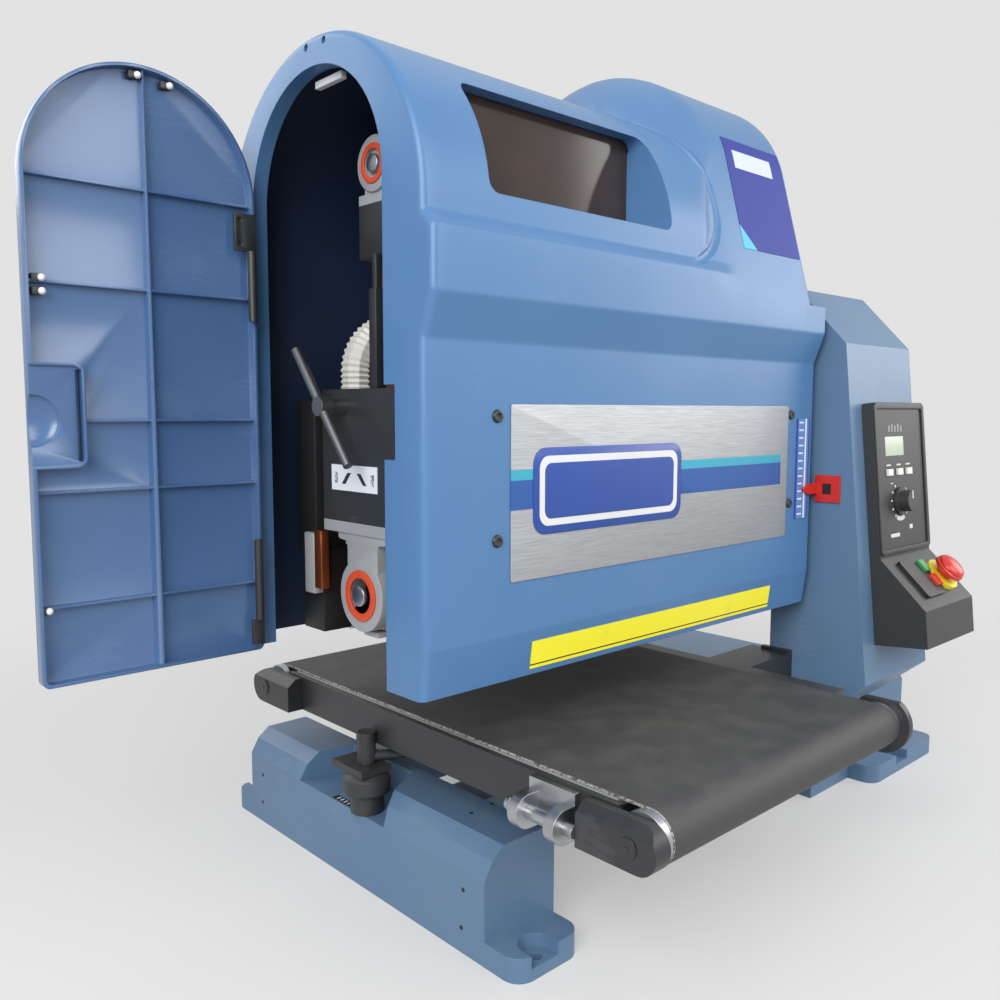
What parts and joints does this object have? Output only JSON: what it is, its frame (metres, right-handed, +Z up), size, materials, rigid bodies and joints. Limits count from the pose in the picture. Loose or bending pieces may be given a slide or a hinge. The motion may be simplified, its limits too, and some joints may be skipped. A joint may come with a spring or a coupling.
{
  "type": "wide belt sander",
  "caption": "Open-ended benchtop wide belt sander: powered feed bed, lifting sanding head on one column, swing-out end door, and control box.",
  "frame": {"origin": "centre of the four foot holes, on the bench", "axes": "+X along the drums from the door end to the column, +Y from the infeed side to the outfeed side, +Z up from the bench"},
  "size_m": [1.211, 0.717, 0.9449],
  "materials": {
    "base paint": "satin blue enamel on castings",
    "casing paint": "satin blue paint on sheet and moulded casing",
    "door plastic": "blue moulded door, satin inside",
    "black enamel": "satin black enamel",
    "black plastic": "fine-textured black moulding",
    "belt rubber": "dark feed belt with a fine nap",
    "turned steel": "turned and ground bare steel",
    "cast grey": "bare machined grey iron",
    "motor paint": "die-cast aluminium",
    "drum rubber": "orange rubber covering on the drums",
    "abrasive cloth": "brown abrasive cloth",
    "smoked window": "smoked clear sheet",
    "hose plastic": "off-white flexible hose",
    "signal red": "glossy red moulding",
    "signal green": "glossy green moulding",
    "signal yellow": "yellow plate",
    "white button": "white push button",
    "display glass": "dark display window"
  },
  "bodies": {
    "frame": {"base_left": "base paint", "base_right": "base paint", "base_tie_bars": "base paint", "column": "base paint", "control_box": "black plastic", "feed_platen": "cast grey", "bed_rails": "black enamel", "roller_caps": "black enamel", "bed_bracket": "black enamel", "level_bracket": "black enamel", "take_up_bracket": "turned steel", "feed_belt": "belt rubber", "feed_gearmotor": "motor paint", "lift_bearing_bracket": "cast grey", "guide_rods": "turned steel", "height_pointer": "signal red", "display_lens": "display glass", "switch_plate": "signal yellow"},
    "take_up": {"take_up_screw": "turned steel"},
    "front_feed": {"front_roller": "turned steel"},
    "rear_feed": {"rear_roller": "turned steel"},
    "level": {"level_knob": "black plastic"},
    "lock_lever": {"level_lock_lever": "black enamel"},
    "lift_screw": {"lead_screw": "turned steel"},
    "wheel": {"handwheel": "black enamel"},
    "grip": {"handwheel_grip": "black plastic"},
    "dial": {"speed_knob": "black plastic"},
    "button_left": {"panel_button_left": "white button"},
    "button_middle": {"panel_button_middle": "white button"},
    "button_right": {"panel_button_right": "white button"},
    "start": {"start_button": "signal green"},
    "stop": {"stop_button": "signal red"},
    "estop": {"emergency_stop": "signal red"},
    "head": {"head_casing": "casing paint", "motor_dome": "casing paint", "window_pane": "smoked window", "casing_hinges": "black enamel", "head_beam": "black enamel", "head_frame": "black enamel", "lift_carriage": "cast grey", "tension_housing": "black enamel", "drum_bearings": "cast grey", "abrasive_belt": "abrasive cloth", "drive_motor": "motor paint", "drive_belt": "belt rubber", "dust_hood": "black enamel", "dust_hose": "hose plastic", "hose_box": "black plastic"},
    "door": {"door_panel": "door plastic", "door_hinges": "black enamel"},
    "tensioner": {"tension_handle": "turned steel"},
    "yoke": {"idler_yoke": "black enamel", "idler_bearings": "cast grey"},
    "idler": {"idler_drum": "drum rubber"},
    "drum": {"contact_drum": "drum rubber"},
    "motor_rotor": {"motor_pulley": "turned steel"},
    "shoes_front": {"pressure_shoes_front": "cast grey"},
    "shoes_rear": {"pressure_shoes_rear": "cast grey"},
    "hold_down_front": {"pressure_roller_front": "turned steel"},
    "hold_down_rear": {"pressure_roller_rear": "turned steel"}
  },
  "joints": [
    {"name": "head_lift", "type": "slide", "parent": "frame", "child": "head", "axis": [0, 0, 1], "range_m": [-0.066, 0.032]},
    {"name": "door_swing", "type": "hinge", "parent": "head", "child": "door", "pos_m": [-0.492, 0.0555, 0.5], "axis": [0, 0, 1], "range_deg": [-30, 90]},
    {"name": "drum_spin", "type": "hinge", "parent": "head", "child": "drum", "pos_m": [-0.174, -0.0625, 0.3415], "axis": [1, 0, 0], "continuous": true},
    {"name": "motor_spin", "type": "hinge", "parent": "head", "child": "motor_rotor", "pos_m": [0.112, -0.0625, 0.886], "axis": [1, 0, 0], "continuous": true},
    {"name": "idler_tension", "type": "slide", "parent": "head", "child": "yoke", "axis": [0, 0, 1], "range_m": [-0.008, 0]},
    {"name": "tension_turn", "type": "hinge", "parent": "head", "child": "tensioner", "pos_m": [-0.459, -0.0365, 0.538], "axis": [1, 0, 0], "range_deg": [0, 60]},
    {"name": "idler_spin", "type": "hinge", "parent": "yoke", "child": "idler", "pos_m": [-0.174, -0.0625, 0.783], "axis": [1, 0, 0], "continuous": true},
    {"name": "hold_down_front_travel", "type": "slide", "parent": "head", "child": "shoes_front", "axis": [0, 0, 1], "range_m": [0, 0.004], "stiffness_N_per_m": 1500, "springref_m": -0.008},
    {"name": "hold_down_rear_travel", "type": "slide", "parent": "head", "child": "shoes_rear", "axis": [0, 0, 1], "range_m": [0, 0.004], "stiffness_N_per_m": 1500, "springref_m": -0.008},
    {"name": "hold_down_front_spin", "type": "hinge", "parent": "shoes_front", "child": "hold_down_front", "pos_m": [-0.174, -0.1915, 0.284], "axis": [1, 0, 0], "continuous": true},
    {"name": "hold_down_rear_spin", "type": "hinge", "parent": "shoes_rear", "child": "hold_down_rear", "pos_m": [-0.174, 0.0685, 0.284], "axis": [1, 0, 0], "continuous": true},
    {"name": "rear_feed_spin", "type": "hinge", "parent": "frame", "child": "rear_feed", "pos_m": [-0.174, 0.1975, 0.18], "axis": [1, 0, 0], "continuous": true},
    {"name": "front_feed_spin", "type": "hinge", "parent": "frame", "child": "front_feed", "pos_m": [-0.174, -0.3995, 0.18], "axis": [1, 0, 0], "continuous": true},
    {"name": "take_up_turn", "type": "hinge", "parent": "frame", "child": "take_up", "pos_m": [-0.408, -0.2995, 0.173], "axis": [0, 1, 0], "continuous": true},
    {"name": "level_turn", "type": "hinge", "parent": "frame", "child": "level", "pos_m": [-0.4, -0.0165, 0.118], "axis": [0, 0, 1], "continuous": true},
    {"name": "lock_lever_swing", "type": "hinge", "parent": "frame", "child": "lock_lever", "pos_m": [-0.4, -0.0165, 0.157], "axis": [0, 0, 1], "range_deg": [-25, 20]},
    {"name": "wheel_turn", "type": "hinge", "parent": "frame", "child": "wheel", "pos_m": [0.412, -0.1145, 0.322], "axis": [1, 0, 0], "continuous": true},
    {"name": "lift_screw_turn", "type": "hinge", "parent": "frame", "child": "lift_screw", "pos_m": [0.226, -0.1145, 0.5], "axis": [0, 0, 1], "continuous": true},
    {"name": "grip_turn", "type": "hinge", "parent": "wheel", "child": "grip", "pos_m": [0.442, -0.1145, 0.389], "axis": [1, 0, 0], "continuous": true},
    {"name": "speed_turn", "type": "hinge", "parent": "frame", "child": "dial", "pos_m": [0.278, -0.31225, 0.41286], "axis": [0, -0.9952, 0.0983], "range_deg": [-140, 140]},
    {"name": "press_left", "type": "slide", "parent": "frame", "child": "button_left", "axis": [0, 0.9952, -0.0983], "range_m": [0, 0.002], "stiffness_N_per_m": 300, "springref_m": -0.002},
    {"name": "press_middle", "type": "slide", "parent": "frame", "child": "button_middle", "axis": [0, 0.9952, -0.0983], "range_m": [0, 0.002], "stiffness_N_per_m": 300, "springref_m": -0.002},
    {"name": "press_right", "type": "slide", "parent": "frame", "child": "button_right", "axis": [0, 0.9952, -0.0983], "range_m": [0, 0.002], "stiffness_N_per_m": 300, "springref_m": -0.002},
    {"name": "press_start", "type": "slide", "parent": "frame", "child": "start", "axis": [0, 0.6978, -0.7163], "range_m": [0, 0.002], "stiffness_N_per_m": 400, "springref_m": -0.002},
    {"name": "press_stop", "type": "slide", "parent": "frame", "child": "stop", "axis": [0, 0.6978, -0.7163], "range_m": [0, 0.002], "stiffness_N_per_m": 400, "springref_m": -0.002},
    {"name": "press_estop", "type": "slide", "parent": "frame", "child": "estop", "axis": [0, 0.6978, -0.7163], "range_m": [0, 0.004]}
  ],
  "couplings": [
    {"joint": "idler_spin", "follows": "drum_spin", "ratio": 1.3333},
    {"joint": "motor_spin", "follows": "drum_spin", "ratio": 2.2727},
    {"joint": "front_feed_spin", "follows": "rear_feed_spin", "ratio": 1},
    {"joint": "lift_screw_turn", "follows": "wheel_turn", "ratio": -1},
    {"joint": "tension_turn", "follows": "idler_tension", "rad_per_m": -130.9}
  ]
}
